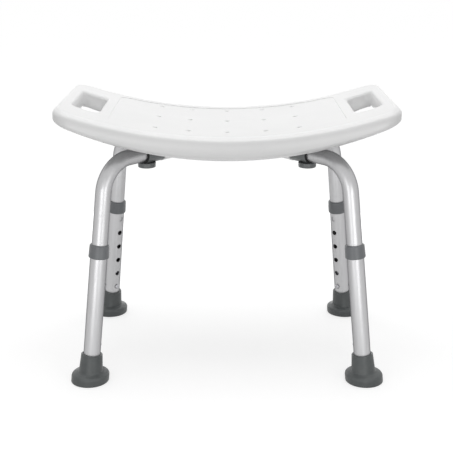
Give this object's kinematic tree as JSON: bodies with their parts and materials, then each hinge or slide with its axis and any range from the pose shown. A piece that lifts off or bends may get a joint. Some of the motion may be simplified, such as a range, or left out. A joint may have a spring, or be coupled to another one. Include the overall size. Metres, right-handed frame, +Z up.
{
  "type": "shower stool",
  "caption": "Shower stool with a curved white moulded seat, hand-holds and drain holes, on splayed telescoping tube legs with rubber feet.",
  "frame": {"origin": "on the floor, below the middle of the seat, with the legs at their shortest", "axes": "+X along the seat, +Y from the front edge to the rear edge, +Z up"},
  "size_m": [0.498, 0.3288, 0.4096],
  "materials": {
    "white_plastic": "satin moulded polyethylene",
    "aluminium": "satin anodised",
    "grey_plastic": "satin moulded",
    "grey_rubber": "matt moulded",
    "black_rubber": "satin",
    "black_plastic": "matt",
    "steel": "zinc plated",
    "brass": "knurled"
  },
  "bodies": {
    "seat_frame": {"seat": "white_plastic", "threaded_inserts": "brass", "upper_tube_front_left": "aluminium", "leaf_spring_front_left": "steel", "seal_ring_front_left": "black_rubber", "clamp_front_left": "grey_plastic", "arm_plug_front_left": "black_plastic", "upper_tube_front_right": "aluminium", "leaf_spring_front_right": "steel", "seal_ring_front_right": "black_rubber", "clamp_front_right": "grey_plastic", "arm_plug_front_right": "black_plastic", "upper_tube_rear_left": "aluminium", "leaf_spring_rear_left": "steel", "seal_ring_rear_left": "black_rubber", "clamp_rear_left": "grey_plastic", "arm_plug_rear_left": "black_plastic", "upper_tube_rear_right": "aluminium", "leaf_spring_rear_right": "steel", "seal_ring_rear_right": "black_rubber", "clamp_rear_right": "grey_plastic", "arm_plug_rear_right": "black_plastic"},
    "leg_front_left": {"lower_tube_front_left": "aluminium", "collar_front_left": "grey_plastic", "foot_front_left": "grey_rubber", "foot_washer_front_left": "steel"},
    "button_front_left": {"snap_button_front_left": "steel"},
    "hand_knob_front_left": {"knob_front_left": "grey_plastic", "knob_stud_front_left": "steel"},
    "leg_front_right": {"lower_tube_front_right": "aluminium", "collar_front_right": "grey_plastic", "foot_front_right": "grey_rubber", "foot_washer_front_right": "steel"},
    "button_front_right": {"snap_button_front_right": "steel"},
    "hand_knob_front_right": {"knob_front_right": "grey_plastic", "knob_stud_front_right": "steel"},
    "leg_rear_left": {"lower_tube_rear_left": "aluminium", "collar_rear_left": "grey_plastic", "foot_rear_left": "grey_rubber", "foot_washer_rear_left": "steel"},
    "button_rear_left": {"snap_button_rear_left": "steel"},
    "hand_knob_rear_left": {"knob_rear_left": "grey_plastic", "knob_stud_rear_left": "steel"},
    "leg_rear_right": {"lower_tube_rear_right": "aluminium", "collar_rear_right": "grey_plastic", "foot_rear_right": "grey_rubber", "foot_washer_rear_right": "steel"},
    "button_rear_right": {"snap_button_rear_right": "steel"},
    "hand_knob_rear_right": {"knob_rear_right": "grey_plastic", "knob_stud_rear_right": "steel"}
  },
  "joints": [
    {"name": "leg_length_front_left", "type": "slide", "parent": "seat_frame", "child": "leg_front_left", "axis": [-0.0965, -0.0807, -0.9921], "range_m": [0, 0.127], "deforming": ["snap_button_front_left"]},
    {"name": "button_press_front_left", "type": "slide", "parent": "seat_frame", "child": "button_front_left", "axis": [-0.6636, -0.7377, 0.1245], "range_m": [0, 0.0042], "stiffness_N_per_m": 1500, "springref_m": -0.003, "deforming": ["leaf_spring_front_left"]},
    {"name": "knob_turn_front_left", "type": "hinge", "parent": "seat_frame", "child": "hand_knob_front_left", "pos_m": [-0.12032, -0.04877, 0.33], "axis": [0, 0, -1], "range_deg": [0, 720]},
    {"name": "leg_length_front_right", "type": "slide", "parent": "seat_frame", "child": "leg_front_right", "axis": [0.0965, -0.0807, -0.9921], "range_m": [0, 0.127], "deforming": ["snap_button_front_right"]},
    {"name": "button_press_front_right", "type": "slide", "parent": "seat_frame", "child": "button_front_right", "axis": [0.6636, -0.7377, 0.1245], "range_m": [0, 0.0042], "stiffness_N_per_m": 1500, "springref_m": -0.003, "deforming": ["leaf_spring_front_right"]},
    {"name": "knob_turn_front_right", "type": "hinge", "parent": "seat_frame", "child": "hand_knob_front_right", "pos_m": [0.12032, -0.04877, 0.33], "axis": [0, 0, -1], "range_deg": [0, 720]},
    {"name": "leg_length_rear_left", "type": "slide", "parent": "seat_frame", "child": "leg_rear_left", "axis": [-0.0965, 0.0807, -0.9921], "range_m": [0, 0.127], "deforming": ["snap_button_rear_left"]},
    {"name": "button_press_rear_left", "type": "slide", "parent": "seat_frame", "child": "button_rear_left", "axis": [-0.6636, 0.7377, 0.1245], "range_m": [0, 0.0042], "stiffness_N_per_m": 1500, "springref_m": -0.003, "deforming": ["leaf_spring_rear_left"]},
    {"name": "knob_turn_rear_left", "type": "hinge", "parent": "seat_frame", "child": "hand_knob_rear_left", "pos_m": [-0.12032, 0.04877, 0.33], "axis": [0, 0, -1], "range_deg": [0, 720]},
    {"name": "leg_length_rear_right", "type": "slide", "parent": "seat_frame", "child": "leg_rear_right", "axis": [0.0965, 0.0807, -0.9921], "range_m": [0, 0.127], "deforming": ["snap_button_rear_right"]},
    {"name": "button_press_rear_right", "type": "slide", "parent": "seat_frame", "child": "button_rear_right", "axis": [0.6636, 0.7377, 0.1245], "range_m": [0, 0.0042], "stiffness_N_per_m": 1500, "springref_m": -0.003, "deforming": ["leaf_spring_rear_right"]},
    {"name": "knob_turn_rear_right", "type": "hinge", "parent": "seat_frame", "child": "hand_knob_rear_right", "pos_m": [0.12032, 0.04877, 0.33], "axis": [0, 0, -1], "range_deg": [0, 720]}
  ]
}
